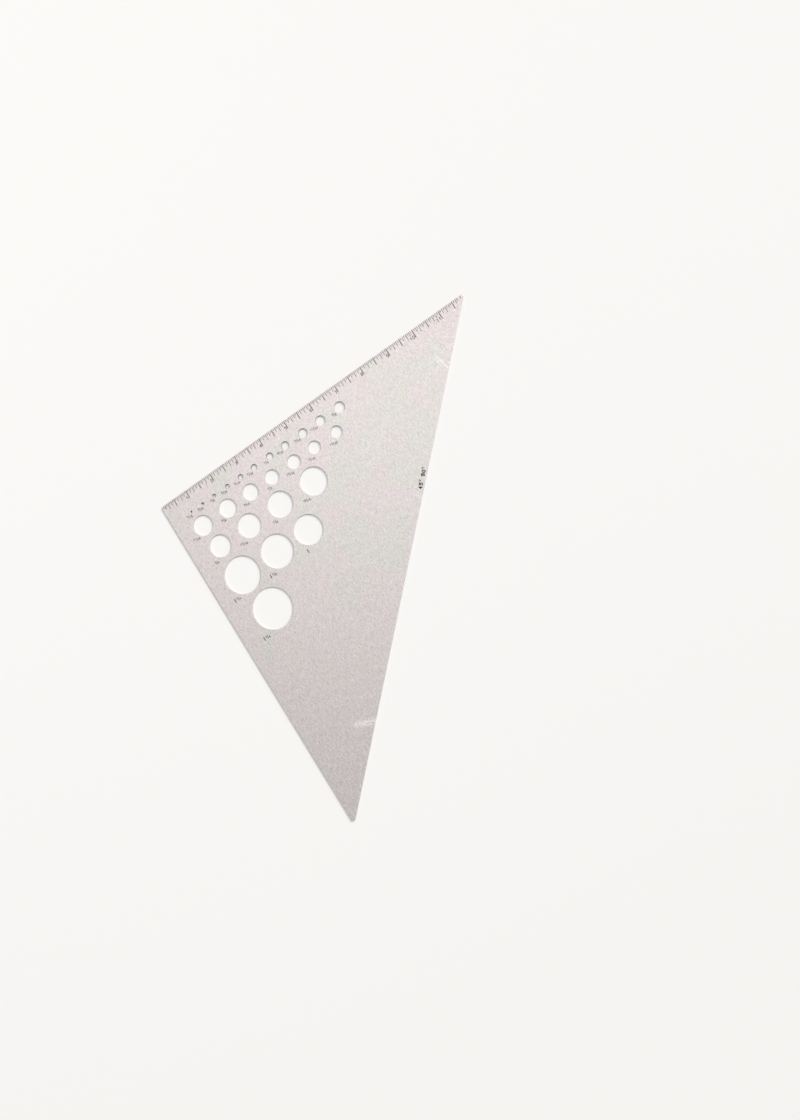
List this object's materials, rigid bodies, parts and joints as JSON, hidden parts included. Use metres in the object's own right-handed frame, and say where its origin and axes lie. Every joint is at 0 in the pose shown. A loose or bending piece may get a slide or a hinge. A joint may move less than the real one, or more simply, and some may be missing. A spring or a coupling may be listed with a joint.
{
  "type": "drafting triangle",
  "caption": "Flat aluminium 45-degree drafting triangle with an inch scale printed along one leg and rows of round template holes, labelled with their sizes.",
  "frame": {"origin": "right-angle corner of the triangle, on the back face, where the two legs would meet if the corner were not rounded", "axes": "+X along the ruled leg, the sheet lies towards -Y, and +Z points out of the marked front face"},
  "size_m": [0.3027, 0.3027, 0.0017],
  "materials": {
    "sheet_aluminium": "bare rolled sheet, satin, with faint streaks and mottling",
    "black_ink": "thin baked printing ink, matt"
  },
  "bodies": {
    "root": {"plate": "sheet_aluminium", "inch_lines": "black_ink", "half_inch_lines": "black_ink", "quarter_inch_lines": "black_ink", "eighth_inch_lines": "black_ink", "sixteenth_inch_lines": "black_ink", "inch_numerals": "black_ink", "hole_sizes_row_1": "black_ink", "hole_sizes_row_2": "black_ink", "hole_sizes_row_3": "black_ink", "hole_sizes_row_4": "black_ink", "hole_sizes_row_5": "black_ink", "angle_legend": "black_ink"}
  },
  "joints": []
}
